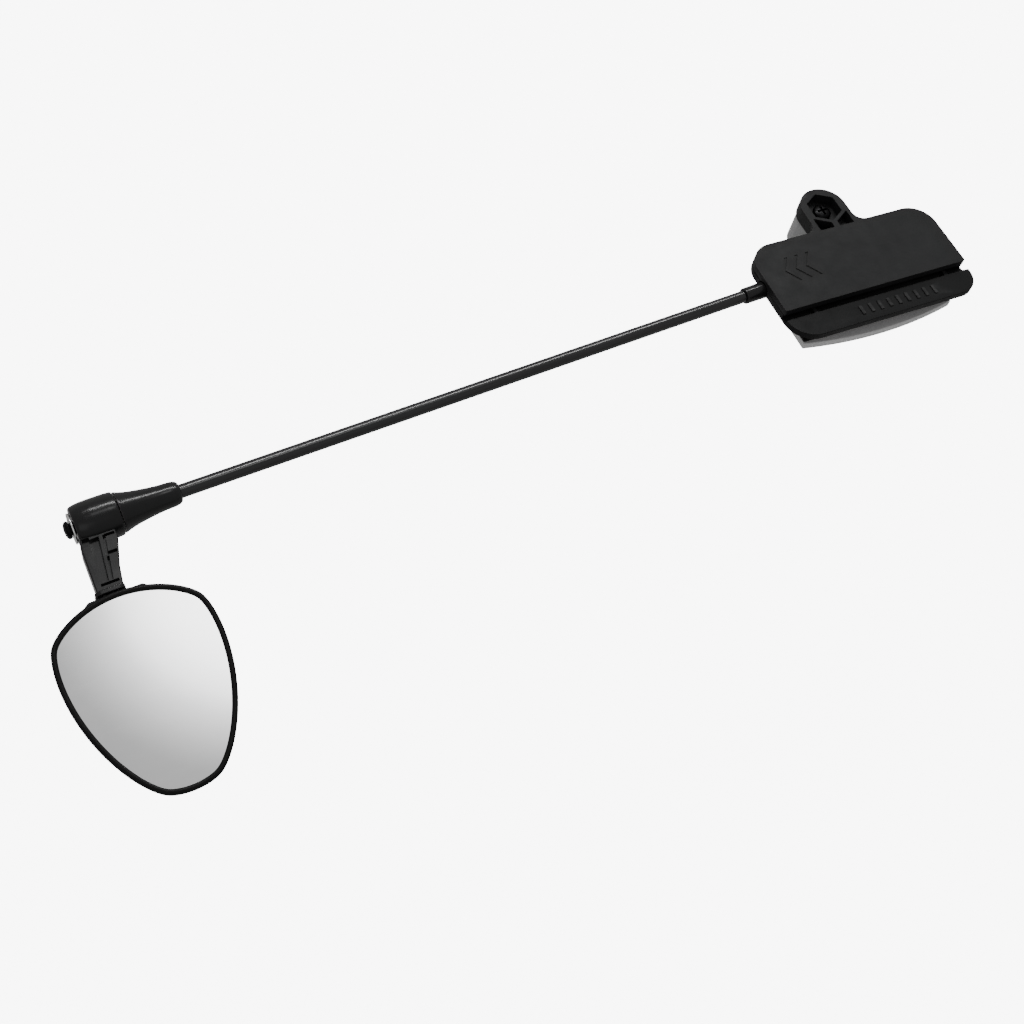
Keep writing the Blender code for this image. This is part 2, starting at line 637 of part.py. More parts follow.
def make_pivot(head, mirror):
    """A grooved stud from the arm into the lug, its bush and the open clip in its groove."""
    along = {"location": (0, 0, PIVOT_Z), "rotation": ALONG_Y}
    tip_r, groove_r = PIVOT_R - GAP, 1.1
    stud_profile = [(0, STUD_TOP), (tip_r, STUD_TOP), (PIVOT_R, STUD_TOP - GAP),
                    (PIVOT_R, GROOVE_TOP), (groove_r, GROOVE_TOP), (groove_r, GROOVE_LOW),
                    (PIVOT_R, GROOVE_LOW), (PIVOT_R, STUD_END + GAP), (tip_r, STUD_END),
                    (0, STUD_END)]
    stud = turned("pivot_stud", stud_profile, closed=False, segments=24, parent=head, **along)
    bush = ring("pivot_bush", PIVOT_R + 0.08, BUSH_R, BUSH_LOW, LUG_TOP - GAP, 24, parent=mirror,
                rotation=ALONG_Y)
    clip = ring("pivot_clip", groove_r + 0.05, 2.2, GROOVE_LOW + 0.15, GROOVE_TOP - 0.15, 24,
                parent=head, **along)
    cut(clip, cut_box("clip_mouth", (-0.9, -30, -5.0), (0.9, -15, PIVOT_Z), head))
    return stud, bush, clip


def make_shell(mirror):
    """A dished back with the pivot's lug on its top edge; heights are taken from the pivot."""
    profile = ((-9.0, -5.0), (-5.0, -4.3), (-2.4, -3.0), (-0.8, -1.3), (0.2, 0.7), (1.0, 2.6),
               (0.2, 2.6), (-0.7, 1.0), (-1.9, -0.9), (-3.4, -2.2), (-5.8, -3.3), (-9.5, -3.9))
    drop = -PIVOT_Z
    shell = oval_shape("mirror_shell", [(offset, z + drop) for offset, z in profile], parent=mirror)
    half = LUG_HALF
    lug = [(-half, LUG_LOW), (half, LUG_LOW), (half, LUG_TOP - 1.2), (half - 1.6, LUG_TOP),
           (-half + 1.6, LUG_TOP), (-half, LUG_TOP - 1.2)]
    join(shell, add_object("lug_block", plate_mesh("lug_block", lug, LUG_BACK + drop,
                                                   LUG_FRONT + drop), parent=mirror, cutter=True))
    cut(shell, cut_rod("bush_bore", BUSH_R + 0.25, BUSH_LOW - GAP, STUD_TOP, parent=mirror,
                       rotation=ALONG_Y))
    cut(shell, cut_box("clip_room", (-CLIP_ROOM, LUG_LOW + 0.6, -3.1 + drop),
                       (CLIP_ROOM, BUSH_LOW - GAP, 9), mirror))
    cut(shell, cut_box("carrier_room", (-half - 1, LUG_LOW - 1, 1.0 + drop), (half + 1, -22.0, 9),
                       mirror))
    return shell


def make_mirror(mirror):
    front = GLASS_FRONT - PIVOT_Z
    back = front - GLASS_THICK
    glass = oval_shape("mirror_glass", ((0.3, back), (0.3, front - 0.3), (0.15, front)),
                       parent=mirror)
    foam = oval_shape("glass_foam", ((-1.6, back - 0.7), (-1.6, back - 0.2)), parent=mirror)
    carrier = oval_shape("glass_carrier", ((-1.6, back - 1.7), (-1.6, back - 1.0)), parent=mirror)
    cut(carrier, cut_box("carrier_notch", (-3.4, LUG_LOW - 0.3, 0), (3.4, -15, 9), mirror))
    lip = front + GAP
    foot = back - GAP
    frame_profile = ((0.0, lip), (0.2, lip + 0.35), (0.8, lip + 0.5), (FRAME_WIDTH, lip + 0.1),
                     (FRAME_WIDTH, lip - 0.9), (FRAME_WIDTH - 0.25, foot), (0.6, foot), (0.6, lip))
    frame = oval_shape("mirror_frame", frame_profile, closed=True, parent=mirror)
    return glass, foam, carrier, frame


# ---------- assembly ----------

def weld_caps(mesh):
    work = bmesh.new()
    work.from_mesh(mesh)
    bmesh.ops.remove_doubles(work, verts=work.verts, dist=1e-6)
    bmesh.ops.recalc_face_normals(work, faces=work.faces)
    work.to_mesh(mesh)
    work.free()


def finish(shape, material):
    """Bake the modifiers, shade round faces smooth and give the piece its material."""
    bpy.context.view_layer.update()
    depsgraph = bpy.context.evaluated_depsgraph_get()
    mesh = bpy.data.meshes.new_from_object(shape.evaluated_get(depsgraph))
    if shape.type == "CURVE":
        weld_caps(mesh)
        solid = add_object(shape.name, mesh, parent=shape.parent)
        solid.matrix_world = shape.matrix_world
        name = shape.name
        bpy.data.objects.remove(shape, do_unlink=True)
        solid.name = name
        shape = solid
    else:
        shape.modifiers.clear()
        shape.data = mesh
    mesh.shade_smooth()
    mesh.set_sharp_from_angle(angle=math.radians(32))
    mesh.materials.clear()
    mesh.materials.append(material)
    return shape


def main():
    clip = empty_frame("clip_frame", (0, 0, 0), (0, 0, CLIP_TURN))
    jaw_hinge = empty_frame("jaw_hinge", (0, HINGE_Y, HINGE_Z), parent=clip)
    head = empty_frame("head_frame", (HEAD_X, STEM_Y, STEM_Z), (HEAD_TURN, 0, 0))
    mirror = empty_frame("pan_axis", (0, 0, PIVOT_Z), parent=head)
    rubber = make_material("rubber", (0.02, 0.02, 0.02), 0.75)
    made = [(make_cover(clip), black_plastic("cover")), (make_base(clip), black_plastic("base")),
            (make_post(clip), grey_plastic("post")), (make_jaw(jaw_hinge), grey_plastic("jaw")),
            (make_pad(jaw_hinge), rubber), (make_spring(clip), steel("spring"))]
    pin = add_object("jaw_pin", rod_mesh("jaw_pin", PIN_R, -PIN_HALF, PIN_HALF), parent=clip,
                     location=(0, HINGE_Y, HINGE_Z), rotation=ALONG_X)
    made.append((pin, steel("pin")))
    post_screw = screw_shape("post_screw", 2.8, 1.6, SCREW_R, SCREW_LENGTH, parent=clip,
                             location=(0, BOSS_Y, RECESS_FLOOR + GAP))
    made.append((post_screw, make_material("screw_black", (0.015, 0.015, 0.015), 0.35, 0.6)))
    core, sheath, collar, retainer = make_stem()
    made += [(core, steel("core")), (sheath, make_material("sheath", (0.015, 0.015, 0.015), 0.2)),
             (collar, black_plastic("collar")), (retainer, steel("retainer"))]
    made.append((make_sleeve(), black_plastic("sleeve")))
    nut, friction, washer, wave, screw = make_hinge_fasteners()
    made += [(nut, steel("nut")), (friction, make_material("nylon", (0.6, 0.6, 0.58), 0.5)),
             (washer, steel("washer")), (wave, steel("wave")),
             (screw, make_material("hinge_black", (0.015, 0.015, 0.015), 0.35, 0.6))]
    made.append((make_arm(head), black_plastic("arm")))
    stud, bush, pivot_clip = make_pivot(head, mirror)
    made += [(stud, steel("stud")), (bush, make_material("bush", (0.6, 0.6, 0.58), 0.5)),
             (pivot_clip, steel("pivot"))]
    made.append((make_shell(mirror), black_plastic("shell")))
    glass, foam, carrier, frame = make_mirror(mirror)
    made += [(glass, make_material("silvered", (0.9, 0.9, 0.9), 0.02, 1.0)),
             (foam, make_material("foam", (0.2, 0.2, 0.2), 0.9)),
             (carrier, black_plastic("carrier")), (frame, black_plastic("frame"))]
    for shape, material in made:
        finish(shape, material)


main()
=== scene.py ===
import json
import math

import bmesh
import bpy
from mathutils import Matrix, Vector


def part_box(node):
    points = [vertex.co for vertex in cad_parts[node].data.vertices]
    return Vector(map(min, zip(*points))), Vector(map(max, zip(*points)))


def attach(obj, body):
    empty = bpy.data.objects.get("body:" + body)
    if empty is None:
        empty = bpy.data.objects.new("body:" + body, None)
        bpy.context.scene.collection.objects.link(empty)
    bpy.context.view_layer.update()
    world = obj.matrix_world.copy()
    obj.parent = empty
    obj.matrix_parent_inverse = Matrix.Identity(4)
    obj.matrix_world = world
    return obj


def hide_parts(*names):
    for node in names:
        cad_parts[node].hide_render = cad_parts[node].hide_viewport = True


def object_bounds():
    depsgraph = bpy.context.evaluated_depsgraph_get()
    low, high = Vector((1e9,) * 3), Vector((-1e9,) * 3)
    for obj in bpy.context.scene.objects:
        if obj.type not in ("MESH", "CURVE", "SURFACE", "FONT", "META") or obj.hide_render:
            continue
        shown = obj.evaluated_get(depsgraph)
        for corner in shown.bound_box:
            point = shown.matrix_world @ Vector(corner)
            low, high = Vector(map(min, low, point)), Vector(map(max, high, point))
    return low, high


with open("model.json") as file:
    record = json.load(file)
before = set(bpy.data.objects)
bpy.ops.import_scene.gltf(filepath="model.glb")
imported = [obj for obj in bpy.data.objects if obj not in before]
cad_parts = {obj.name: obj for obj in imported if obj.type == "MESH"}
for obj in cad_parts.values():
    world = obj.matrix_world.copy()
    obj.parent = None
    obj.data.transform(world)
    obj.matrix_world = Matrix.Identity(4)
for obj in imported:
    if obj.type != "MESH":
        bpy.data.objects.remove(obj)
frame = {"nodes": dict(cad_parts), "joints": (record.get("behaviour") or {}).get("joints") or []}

CAD_BOX = [list(corner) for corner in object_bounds()]
MM = 0.001
TAU = 2 * math.pi
BEVEL_ANGLE = 30  # degrees: flatter edges stay as they are
CORNER_STEPS = 4

# Joint places give the three local frames: clip, stem and head
JOINTS = {joint["name"]: joint for joint in frame["joints"]}
jaw_axis = JOINTS["clip_open"]["axis"]
CLIP = Matrix.Rotation(math.atan2(jaw_axis[1], jaw_axis[0]), 4, "Z")
stem_place = Vector(JOINTS["arm_swing"]["pos_m"])
pan_axis = JOINTS["mirror_pan"]["axis"]
HEAD = Matrix.Translation(stem_place) @ Matrix.Rotation(math.atan2(pan_axis[2], pan_axis[1]), 4, "X")
STEM = Matrix.Translation((0, stem_place.y, stem_place.z))
ALONG_X = Matrix.Rotation(math.radians(90), 4, "Y")
ALONG_Y = Matrix.Rotation(math.radians(-90), 4, "X")
FACING_OUT = Matrix.Rotation(math.radians(-90), 4, "Y")


# ---------- mesh helpers, all in millimetres ----------

def arc(centre, radius, start, end, steps):
    """Points on an arc, angles in degrees."""
    points = []
    for i in range(steps + 1):
        angle = math.radians(start + (end - start) * i / steps)
        points.append((centre[0] + radius * math.cos(angle), centre[1] + radius * math.sin(angle)))
    return points


def skin(loops, closed=False):
    """A bmesh through rings of points. Closed joins the last ring to the first, else both get a cap."""
    work = bmesh.new()
    rings = [[work.verts.new(Vector(p) * MM) for p in loop] for loop in loops]
    pairs = list(zip(rings, rings[1:]))
    if closed:
        pairs.append((rings[-1], rings[0]))
    count = len(rings[0])
    for first, second in pairs:
        for i in range(count):
            j = (i + 1) % count
            work.faces.new((first[i], first[j], second[j], second[i]))
    if not closed:
        work.faces.new(rings[0])
        work.faces.new(rings[-1])
    bmesh.ops.recalc_face_normals(work, faces=work.faces)
    return work


def slab(outline, z_low, z_high):
    loops = [[(x, y, z) for x, y in outline] for z in (z_low, z_high)]
    return skin(loops)


def lathe(profile, segments=96, closed=False):
    """A profile of (radius, height) turned round Z."""
    loops = []
    for radius, height in profile:
        loops.append([(radius * math.cos(TAU * i / segments), radius * math.sin(TAU * i / segments),
                       height) for i in range(segments)])
    return skin(loops, closed=closed)


def block(low, high):
    outline = [(low[0], low[1]), (high[0], low[1]), (high[0], high[1]), (low[0], high[1])]
    return slab(outline, low[2], high[2])


def rounded_profile(points, radius):
    """Round the corners of an open profile of (radius, height) points."""
    out = [points[0]]
    for before, corner, after in zip(points, points[1:], points[2:]):
        c = Vector(corner)
        to_before = Vector(before) - c
        to_after = Vector(after) - c
        size = min(radius, 0.45 * to_before.length, 0.45 * to_after.length)
        a = c + to_before.normalized() * size
        b = c + to_after.normalized() * size
        for i in range(CORNER_STEPS + 1):
            t = i / CORNER_STEPS
            out.append(tuple((1 - t) ** 2 * a + 2 * t * (1 - t) * c + t ** 2 * b))
    out.append(points[-1])
    return out


def to_mesh(name, work, matrix):
    work.transform(matrix)
    mesh = bpy.data.meshes.new(name)
    work.to_mesh(mesh)
    work.free()
    return mesh


def tool(name, work, matrix):
    """A helper solid that cuts or joins a piece."""
    helper = bpy.data.objects.new("helper_" + name, to_mesh(name, work, matrix))
    bpy.context.scene.collection.objects.link(helper)
    return helper


def build(name, work, matrix, steps=()):
    """Make an object, run its steps and return it with every modifier applied.

    A step is ("bevel", width, segments, smallest angle in degrees), where the angle may be left
    out, ("cut", bmesh, matrix) or ("join", bmesh, matrix).
    """
    piece = bpy.data.objects.new(name, to_mesh(name, work, matrix))
    bpy.context.scene.collection.objects.link(piece)
    helpers = []
    for number, step in enumerate(steps):
        if step[0] == "bevel":
            edge = piece.modifiers.new(f"edge_{number}", "BEVEL")
            edge.width = step[1] * MM
            edge.segments = step[2]
            edge.limit_method = "ANGLE"
            edge.angle_limit = math.radians(step[3] if len(step) > 3 else BEVEL_ANGLE)
        else:
            helper = tool(f"{name}_{number}", step[1], step[2])
            helpers.append(helper)
            boolean = piece.modifiers.new(f"shape_{number}", "BOOLEAN")
            boolean.operation = "DIFFERENCE" if step[0] == "cut" else "UNION"
            boolean.solver = "EXACT"
            boolean.object = helper
    bpy.context.view_layer.update()
    depsgraph = bpy.context.evaluated_depsgraph_get()
    mesh = bpy.data.meshes.new_from_object(piece.evaluated_get(depsgraph))
    piece.modifiers.clear()
    piece.data = mesh
    for helper in helpers:
        bpy.data.objects.remove(helper, do_unlink=True)
    return piece


def bmesh_of(piece):
    """Take a built piece apart again, for joining to another."""
    work = bmesh.new()
    work.from_mesh(piece.data)
    bpy.data.objects.remove(piece, do_unlink=True)
    return work


def hand_in(piece, material, body, nodes, sharp=38):
    """Shade the piece, with large faces kept flat, give it its look and body, and hide the CAD nodes it
    takes the place of.
    """
    piece.data.shade_smooth()
    piece.data.set_sharp_from_angle(angle=math.radians(sharp))
    even = piece.modifiers.new("even", "WEIGHTED_NORMAL")
    even.keep_sharp = True
    bpy.context.view_layer.update()
    depsgraph = bpy.context.evaluated_depsgraph_get()
    piece.data = bpy.data.meshes.new_from_object(piece.evaluated_get(depsgraph))
    piece.modifiers.clear()
    piece.data.materials.clear()
    piece.data.materials.append(material)
    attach(piece, body)
    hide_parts(*nodes)


# ---------- materials ----------

HIGHLIGHT_STARTS, HIGHLIGHT_FULL = 0.53, 0.62  # pointiness where the painted edge highlight begins to show, and where it is full


def link(tree, a, b):
    tree.links.new(a, b)


def new_material(name, metallic=0.0, specular=0.5, coat=0.0):
    material = bpy.data.materials.new(name)
    material.use_nodes = True
    tree = material.node_tree
    shader = tree.nodes["Principled BSDF"]
    shader.inputs["Metallic"].default_value = metallic
    shader.inputs["Specular IOR Level"].default_value = specular
    shader.inputs["Coat Weight"].default_value = coat
    shader.inputs["Coat Roughness"].default_value = 0.1
    return material, tree, shader


def noise(tree, scale, detail=3.0, stretch=(1, 1, 1), rough=0.55):
    where = tree.nodes.new("ShaderNodeTexCoord")
    mapping = tree.nodes.new("ShaderNodeMapping")
    mapping.inputs["Scale"].default_value = stretch
    texture = tree.nodes.new("ShaderNodeTexNoise")
    texture.inputs["Scale"].default_value = scale
    texture.inputs["Detail"].default_value = detail
    texture.inputs["Roughness"].default_value = rough
    link(tree, where.outputs["Object"], mapping.inputs["Vector"])
    link(tree, mapping.outputs["Vector"], texture.inputs["Vector"])
    return texture.outputs["Fac"]


def spread(tree, value, low, high, from_low=0.3, from_high=0.7):
    ramp = tree.nodes.new("ShaderNodeMapRange")
    ramp.inputs["From Min"].default_value = from_low
    ramp.inputs["From Max"].default_value = from_high
    ramp.inputs["To Min"].default_value = low
    ramp.inputs["To Max"].default_value = high
    link(tree, value, ramp.inputs["Value"])
    return ramp.outputs["Result"]


def mix(tree, value, first, second):
    """A colour that goes from the first to the second as the value grows."""
    factor = spread(tree, value, 0, 1)
    blend = tree.nodes.new("ShaderNodeMix")
    blend.data_type = "RGBA"
    blend.inputs["A"].default_value = (*first, 1)
    blend.inputs["B"].default_value = (*second, 1)
    link(tree, factor, blend.inputs["Factor"])
    return blend.outputs["Result"]


def bump(tree, shader, height, strength, distance, under=None):
    node = tree.nodes.new("ShaderNodeBump")
    node.inputs["Strength"].default_value = strength
    node.inputs["Distance"].default_value = distance * MM
    link(tree, height, node.inputs["Height"])
    if under:
        link(tree, under, node.inputs["Normal"])
    link(tree, node.outputs["Normal"], shader.inputs["Normal"])
    return node.outputs["Normal"]


def painted_edge_highlight(tree, colour, edge_colour):
    """Painted highlight: lighter colour where the surface is a convex edge."""
    geometry = tree.nodes.new("ShaderNodeNewGeometry")
    factor = spread(tree, geometry.outputs["Pointiness"], 0.0, 1.0, HIGHLIGHT_STARTS, HIGHLIGHT_FULL)
    broken = tree.nodes.new("ShaderNodeMath")
    broken.operation = "MULTIPLY"
    link(tree, factor, broken.inputs[0])
    link(tree, spread(tree, noise(tree, 900), 0.2, 1.0), broken.inputs[1])
    blend = tree.nodes.new("ShaderNodeMix")
    blend.data_type = "RGBA"
    link(tree, broken.outputs[0], blend.inputs["Factor"])
    link(tree, colour, blend.inputs["A"])
    blend.inputs["B"].default_value = (*edge_colour, 1)
    return blend.outputs["Result"]


def moulded(name, dark, light, rough=(0.38, 0.5), grain=0.12, grain_scale=2600, specular=0.5,
            edge=None):
    """Injection-moulded plastic: fine spark grain, faint cloudy colour and a painted highlight on convex
    edges.
    """
    material, tree, shader = new_material(name, specular=specular)
    colour = mix(tree, noise(tree, 70, 4), dark, light)
    # edge is the colour of a painted highlight on convex edges
    if edge:
        colour = painted_edge_highlight(tree, colour, edge)
    link(tree, colour, shader.inputs["Base Color"])
    link(tree, spread(tree, noise(tree, 220, 5), *rough), shader.inputs["Roughness"])
    coarse = bump(tree, shader, noise(tree, grain_scale * 0.28, 2), grain * 0.6, 0.05)
    bump(tree, shader, noise(tree, grain_scale, 2), grain, 0.03, under=coarse)
    return material


def metal(name, colour, rough):
    """Plain metal with fine patches of darker colour and uneven polish."""
    material, tree, shader = new_material(name, metallic=1.0)
    patches = noise(tree, 900, 4)
    darker = tuple(0.8 * c for c in colour)
    link(tree, mix(tree, patches, darker, colour), shader.inputs["Base Color"])
    link(tree, spread(tree, patches, rough * 0.75, rough * 1.3), shader.inputs["Roughness"])
    bump(tree, shader, patches, 0.08, 0.02)
    return material


def silvered_glass():
    """First-surface silver with faint dust and wiping marks."""
    material, tree, shader = new_material("mirror_silver", metallic=1.0)
    haze = noise(tree, 90, 6, rough=0.65)
    link(tree, mix(tree, haze, (0.86, 0.865, 0.87), (0.9, 0.9, 0.9)), shader.inputs["Base Color"])
    wipes = noise(tree, 260, 5, (0.35, 1.6, 1))
    link(tree, spread(tree, wipes, 0.015, 0.05), shader.inputs["Roughness"])
    bump(tree, shader, noise(tree, 35, 1), 0.02, 0.05)
    return material


def gloss_black():
    """Extruded sheath: glossy, with fine lines drawn along the stem."""
    material, tree, shader = new_material("stem_gloss_black", specular=0.5, coat=0.15)
    along = noise(tree, 2200, 3, (0.02, 1, 1))
    link(tree, mix(tree, along, (0.006, 0.006, 0.0065), (0.014, 0.014, 0.015)),
         shader.inputs["Base Color"])
    link(tree, spread(tree, noise(tree, 500, 4, (0.08, 1, 1)), 0.2, 0.3), shader.inputs["Roughness"])
    bump(tree, shader, along, 0.05, 0.01)
    return material


# The edge colours below are a painted highlight on convex edges.
COVER_BLACK = moulded("cover_black", (0.010, 0.010, 0.0105), (0.014, 0.014, 0.0145), (0.48, 0.6), 0.22,
                      2400, specular=0.18, edge=(0.05, 0.05, 0.05))
BASE_BLACK = moulded("base_black", (0.005, 0.005, 0.0053), (0.008, 0.008, 0.0083), (0.42, 0.55), 0.18,
                     specular=0.12, edge=(0.04, 0.04, 0.04))
ARM_BLACK = moulded("arm_black", (0.006, 0.006, 0.0062), (0.011, 0.011, 0.0113), (0.18, 0.28), 0.08,
                    specular=0.32, edge=(0.05, 0.05, 0.05))
FRAME_BLACK = moulded("frame_black", (0.003, 0.003, 0.003), (0.006, 0.006, 0.006), (0.35, 0.45), 0.08,
                      specular=0.15)
# One grey plastic in two copies: lighter on the jaw as painted light, darker on the post as painted
# shade.
LIT_JAW_GREY = moulded("jaw_grey_lit", (0.60, 0.60, 0.60), (0.68, 0.68, 0.68), (0.45, 0.6), 0.12, specular=0.3)
SHADED_POST_GREY = moulded("post_grey_shaded", (0.33, 0.33, 0.33), (0.40, 0.40, 0.40), (0.45, 0.6), 0.12, specular=0.3)
PAD_RUBBER = moulded("pad_rubber", (0.008, 0.008, 0.008), (0.015, 0.015, 0.015), (0.8, 0.95), 0.3, 1500,
                    specular=0.1)
NYLON = moulded("natural_nylon", (0.55, 0.55, 0.52), (0.66, 0.65, 0.62), (0.35, 0.5), 0.06)
FOAM = moulded("adhesive_foam", (0.08, 0.08, 0.08), (0.15, 0.15, 0.15), (0.85, 0.95), 0.5, 3000)
STEEL = metal("zinc_steel", (0.72, 0.72, 0.71), 0.26)
BRIGHT_STEEL = metal("bright_washer", (0.9, 0.9, 0.89), 0.2)
BLACK_STEEL = metal("black_oxide", (0.014, 0.014, 0.0145), 0.36)
STEM_GLOSS = gloss_black()
SILVER = silvered_glass()


# ---------- clip ----------

CLIP_LEFT, CLIP_EDGE, STRIP_RIGHT = -32.2, 31.0, 32.2
CLIP_TOP, COVER_LOW, STRIP_LOW = 14.6, -9.2, -18.3
CORNER_R, STRIP_LEFT_R, STRIP_RIGHT_R = 7.8, 8.3, 6.5
BOSS_Y, BOSS_R, BOSS_FILLET, HEX_R, POST_R = 22.3, 7.3, 3.5, 5.4, 6.9
COVER_BACK, COVER_FRONT, BASE_FRONT, RECESS_FLOOR = 2.4, 4.4, 2.1, 1.3
HINGE_Y, HINGE_Z = 17.4, -6.2
JAW_LEFT, JAW_RIGHT, JAW_FRONT, JAW_BACK = -25.7, 26.8, -5.8, -8.2
JAW_TOP, JAW_ENDS, JAW_MIDDLE, NECK_HALF = 11.0, -15.1, -17.7, 3.1
PAD_LEFT, PAD_RIGHT, PAD_LOW, PAD_TOP, PAD_FRONT = -25.9, 26.6, -14.7, 8.0, -4.5
JAW_CORNER, LOW_CORNER, STEP_CORNER = 4.0, 0.6, 1.0
POST_BACK, POST_FRONT = -10.6, -0.3
SCREW_HOLE_R, PIN_HOLE_R, SOCKET_R = 1.8, 1.3, 2.7
SOCKET_MOUTH, SOCKET_STEP, SOCKET_END, RETAINER_R = -45, -24.1, -20.6, 2.9
HUMP_R, HUMP_START, HUMP_END = 3.8, -29.9, -19.6
CORE_R, SHEATH_R = 1.3, 1.75
SLOT_HALF, SLOT_ROOF, SPRING_SLOT_HALF = 3.5, -3.2, 1.6
CHEVRONS, CHEVRON_PITCH, CHEVRON_DEPTH = 3, 3.6, 0.22
GRIP_RIBS, GRIP_PITCH, GRIP_HEIGHT = 9, 3.2, 0.28
FINGER_GROOVES, FINGER_PITCH, FINGER_DEPTH = 4, 3.4, 0.4
PAD_GROOVES, PAD_PITCH, PAD_GROOVE, PAD_DEPTH = 8, 2.7, 0.7, 0.35
STEM_AXIS = STEM @ ALONG_X
IDENTITY = Matrix.Identity(4)
BOSS_AXIS = CLIP @ Matrix.Translation((0, BOSS_Y * MM, 0))
HINGE_AXIS = CLIP @ Matrix.Translation((0, HINGE_Y * MM, HINGE_Z * MM)) @ ALONG_X


def cover_outline():
    corner_y = CLIP_TOP - CORNER_R
    fillet_x, fillet_y = BOSS_R + BOSS_FILLET, CLIP_TOP + BOSS_FILLET
    low_y = COVER_LOW + LOW_CORNER
    outline = arc((CLIP_LEFT + LOW_CORNER, low_y), LOW_CORNER, 180, 270, 6)
    outline += arc((CLIP_EDGE - LOW_CORNER, low_y), LOW_CORNER, 270, 360, 6)
    outline += arc((CLIP_EDGE - CORNER_R, corner_y), CORNER_R, 0, 90, 20)
    outline += arc((fillet_x, fillet_y), BOSS_FILLET, 270, 180, 12)
    outline += arc((0, BOSS_Y), BOSS_R, 0, 180, 48)
    outline += arc((-fillet_x, fillet_y), BOSS_FILLET, 360, 270, 12)
    outline += arc((CLIP_LEFT + CORNER_R, corner_y), CORNER_R, 90, 180, 20)
    return outline


def bore(radius, low, high, segments=48):
    """A solid rod along Z, for cutting a round hole."""
    return lathe([(0.01, low), (radius, low), (radius, high), (0.01, high)], segments)


def boss_steps():
    """The hexagonal recess and the two pockets under it, with the rib between them."""
    hexagon = [(HEX_R * math.sin(TAU * i / 6), BOSS_Y + HEX_R * math.cos(TAU * i / 6))
               for i in range(6)]
    steps = [("cut", slab(hexagon, RECESS_FLOOR, 9), CLIP)]
    slope = math.tan(math.radians(30))
    low, pocket_half = BOSS_Y - HEX_R - 1.15, 5.9
    for side in (-1, 1):
        pocket = [(side, CLIP_TOP - 0.2), (side * pocket_half, CLIP_TOP - 0.2),
                  (side * pocket_half, low + pocket_half * slope), (side, low + slope)]
        steps.append(("cut", slab(pocket, RECESS_FLOOR, 9), CLIP))
    steps.append(("cut", bore(SCREW_HOLE_R, -40, 40, 32), BOSS_AXIS))
    return steps


def chevron_steps():
    """Three shallow chevrons that point along the stem."""
    steps = []
    for i in range(CHEVRONS):
        x = -25.5 + CHEVRON_PITCH * i
        outline = [(x, 4.0), (x + 3.0, 8.4), (x + 4.0, 8.4), (x + 1.0, 4.0), (x + 4.0, -0.4),
                   (x + 3.0, -0.4)]
        steps.append(("cut", slab(outline, COVER_FRONT - CHEVRON_DEPTH, COVER_FRONT + 1), CLIP))
    return steps


def make_cover():
    boss = [(BOSS_R, CLIP_TOP + 0.3)] + arc((0, BOSS_Y), BOSS_R, 0, 180, 48)
    boss += [(-BOSS_R, CLIP_TOP + 0.3)]
    steps = [("join", slab(boss, 0.0, COVER_FRONT - 0.9), CLIP), ("bevel", 0.4, 4, 50)]
    steps += boss_steps()
    steps.append(("cut", bore(SOCKET_R, SOCKET_MOUTH, SOCKET_END), STEM_AXIS))
    steps += chevron_steps()
    return build("cover_shell", slab(cover_outline(), COVER_BACK, COVER_FRONT), CLIP, steps)


def base_outline():
    step_y = COVER_LOW - 0.8
    outline = arc((CLIP_LEFT + STRIP_LEFT_R, STRIP_LOW + STRIP_LEFT_R), STRIP_LEFT_R, 180, 270, 20)
    outline += arc((STRIP_RIGHT - STRIP_RIGHT_R, STRIP_LOW + STRIP_RIGHT_R), STRIP_RIGHT_R,
                   270, 360, 16)
    outline += arc((STRIP_RIGHT - STEP_CORNER, step_y - STEP_CORNER), STEP_CORNER, 0, 90, 6)
    outline.append((CLIP_EDGE, step_y))
    outline += arc((CLIP_EDGE - CORNER_R, CLIP_TOP - CORNER_R), CORNER_R, 0, 90, 20)
    outline += arc((CLIP_LEFT + CORNER_R, CLIP_TOP - CORNER_R), CORNER_R, 90, 180, 20)
    return outline


def make_base():
    steps = [("bevel", 0.3, 3, 50)]
    for low, high in ((CLIP_LEFT - 1, -22.6), (-21.4, 23.4), (24.6, STRIP_RIGHT + 1)):
        steps.append(("cut", block((low, COVER_LOW - 1.7, 0.9), (high, COVER_LOW + 0.4, 5)), CLIP))
    for i in range(GRIP_RIBS):
        x = -9.0 + GRIP_PITCH * i
        rib = block((x, -15.9, BASE_FRONT - 0.3), (x + 1.0, -12.9, BASE_FRONT + GRIP_HEIGHT))
        steps.append(("join", rib, CLIP))
    hump = rounded_profile([(0.01, HUMP_START), (HUMP_R, HUMP_START), (HUMP_R, HUMP_END),
                            (0.01, HUMP_END)], 0.6)
    steps.append(("join", lathe(hump, 48), STEM_AXIS))
    steps.append(("cut", block((-40, -14, BASE_FRONT), (-10, 14.0, 8)), CLIP))
    steps.append(("cut", bore(SOCKET_R, SOCKET_MOUTH, SOCKET_STEP), STEM_AXIS))
    steps.append(("cut", bore(RETAINER_R, -24.3, SOCKET_END), STEM_AXIS))
    return build("base_plate", slab(base_outline(), 0.0, BASE_FRONT), CLIP, steps)


def make_post():
    outline = arc((0, BOSS_Y), POST_R, 0, 180, 48)
    outline += [(-POST_R, CLIP_TOP + 0.3), (POST_R, CLIP_TOP + 0.3)]
    steps = [("bevel", 0.35, 3, 50),
             ("cut", block((-SLOT_HALF, 0, -12), (SLOT_HALF, HINGE_Y + 2.8, SLOT_ROOF)), CLIP),
             ("cut", bore(SCREW_HOLE_R, -7.4, 3), BOSS_AXIS),
             ("cut", bore(PIN_HOLE_R, -9, 9), HINGE_AXIS)]
    return build("hinge_post", slab(outline, POST_BACK, POST_FRONT), CLIP, steps)


